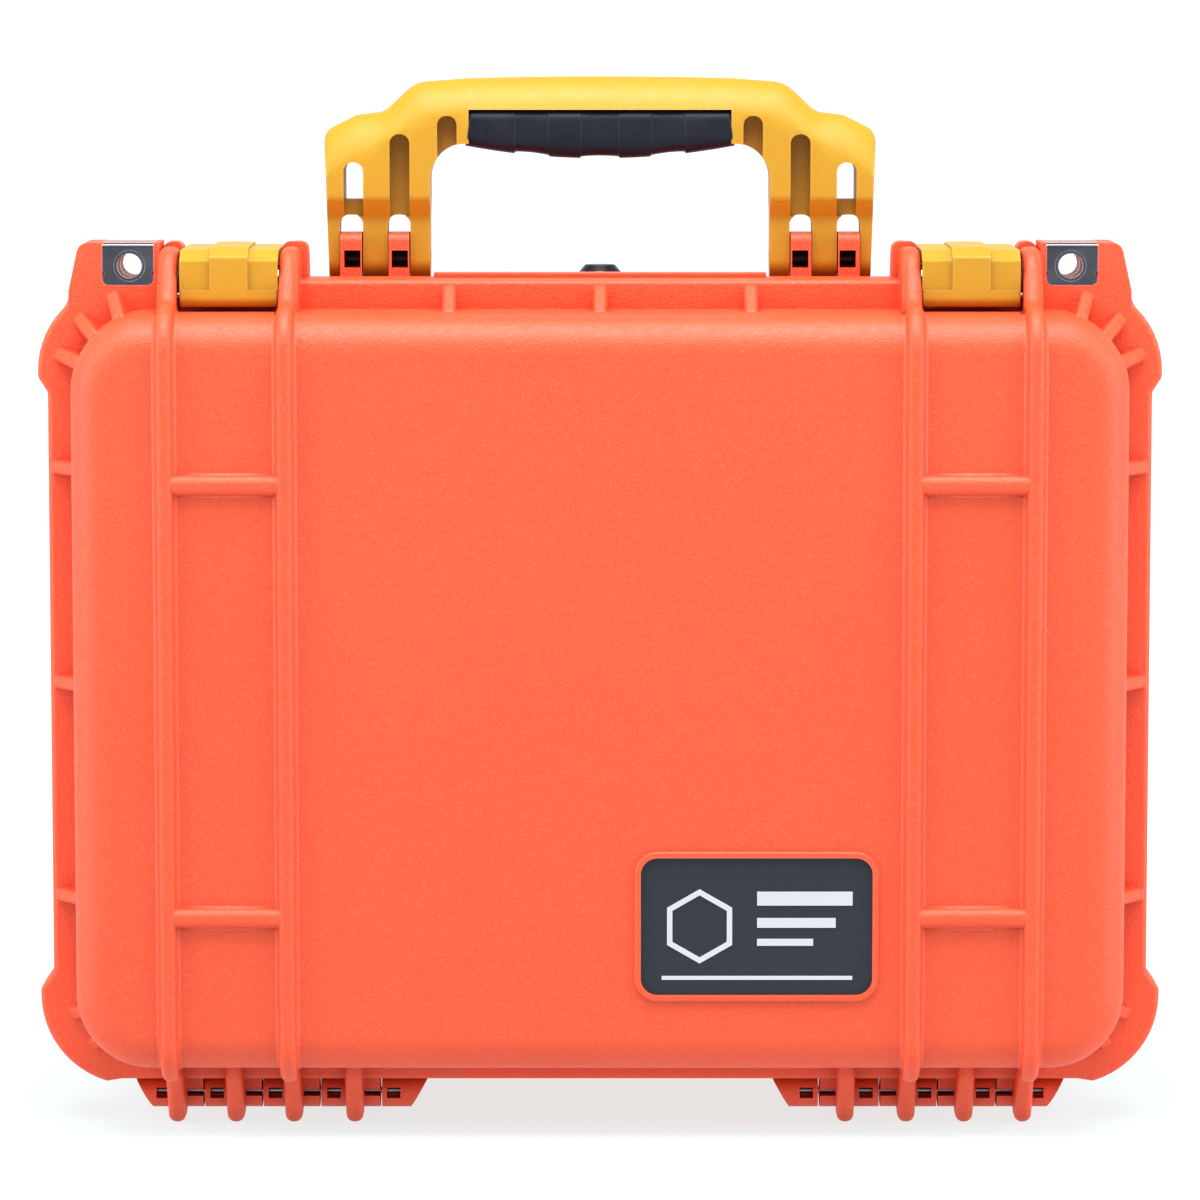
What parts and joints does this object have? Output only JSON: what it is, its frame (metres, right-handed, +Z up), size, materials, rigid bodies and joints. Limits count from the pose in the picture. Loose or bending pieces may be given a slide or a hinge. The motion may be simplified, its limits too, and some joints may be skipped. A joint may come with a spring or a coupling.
{
  "type": "hard equipment case",
  "caption": "Ribbed hard case standing on its hinge edge, with raised carrying handle, twin latches, padlock lugs, perimeter seal and pressure valve.",
  "frame": {"origin": "middle of the bounding box on the floor the case stands on", "axes": "+X along the width to the right as seen from the lid side, +Y from the lid towards the base, +Z up from hinge edge to handle"},
  "size_m": [0.4064, 0.174, 0.379],
  "materials": {
    "shell": "fine pebble-grained moulded copolymer, coral orange",
    "yellow_plastic": "satin moulded plastic, warm yellow",
    "grip_rubber": "matt overmoulded rubber, blue-black",
    "seal_rubber": "matt black elastomer",
    "nameplate": "printed dark grey plate, semi-gloss",
    "plate_steel": "brushed stainless sheet",
    "pin_steel": "ground stainless pin",
    "black_pin": "black satin pin",
    "valve_plastic": "black satin moulded plastic",
    "membrane": "white breathable membrane"
  },
  "bodies": {
    "base": {"base_shell": "shell", "base_padlock_plate_left": "plate_steel", "base_padlock_plate_right": "plate_steel", "hinge_pin_left": "pin_steel", "hinge_pin_right": "pin_steel", "handle_pin_left": "black_pin", "handle_pin_right": "black_pin", "valve_housing": "valve_plastic", "valve_seal": "seal_rubber", "valve_membrane": "membrane", "valve_nut": "valve_plastic"},
    "lid": {"lid_shell": "shell", "lid_seal": "seal_rubber", "nameplate": "nameplate", "lid_padlock_plate_left": "plate_steel", "lid_padlock_plate_right": "plate_steel", "latch_lid_pin_left": "pin_steel", "latch_lid_pin_right": "pin_steel"},
    "handle": {"handle_frame": "yellow_plastic", "handle_grip": "grip_rubber"},
    "claw_left": {"latch_claw_left": "yellow_plastic", "latch_lever_pin_left": "pin_steel"},
    "claw_right": {"latch_claw_right": "yellow_plastic", "latch_lever_pin_right": "pin_steel"},
    "lever_left": {"latch_lever_left": "yellow_plastic"},
    "lever_right": {"latch_lever_right": "yellow_plastic"}
  },
  "joints": [
    {"name": "lid_hinge", "type": "hinge", "parent": "base", "child": "lid", "pos_m": [0, -0.034, 0.0095], "axis": [1, 0, 0], "range_deg": [0, 100]},
    {"name": "handle_hinge", "type": "hinge", "parent": "base", "child": "handle", "pos_m": [0, -0.012, 0.313], "axis": [-1, 0, 0], "range_deg": [0, 90]},
    {"name": "claw_hinge_left", "type": "hinge", "parent": "lid", "child": "claw_left", "pos_m": [-0.1324, -0.0545, 0.3018], "axis": [1, 0, 0], "range_deg": [0, 90]},
    {"name": "claw_hinge_right", "type": "hinge", "parent": "lid", "child": "claw_right", "pos_m": [0.1324, -0.0545, 0.3018], "axis": [1, 0, 0], "range_deg": [0, 90]},
    {"name": "lever_hinge_left", "type": "hinge", "parent": "claw_left", "child": "lever_left", "pos_m": [-0.1324, -0.015, 0.31], "axis": [-1, 0, 0], "range_deg": [0, 40]},
    {"name": "lever_hinge_right", "type": "hinge", "parent": "claw_right", "child": "lever_right", "pos_m": [0.1324, -0.015, 0.31], "axis": [-1, 0, 0], "range_deg": [0, 40]}
  ]
}
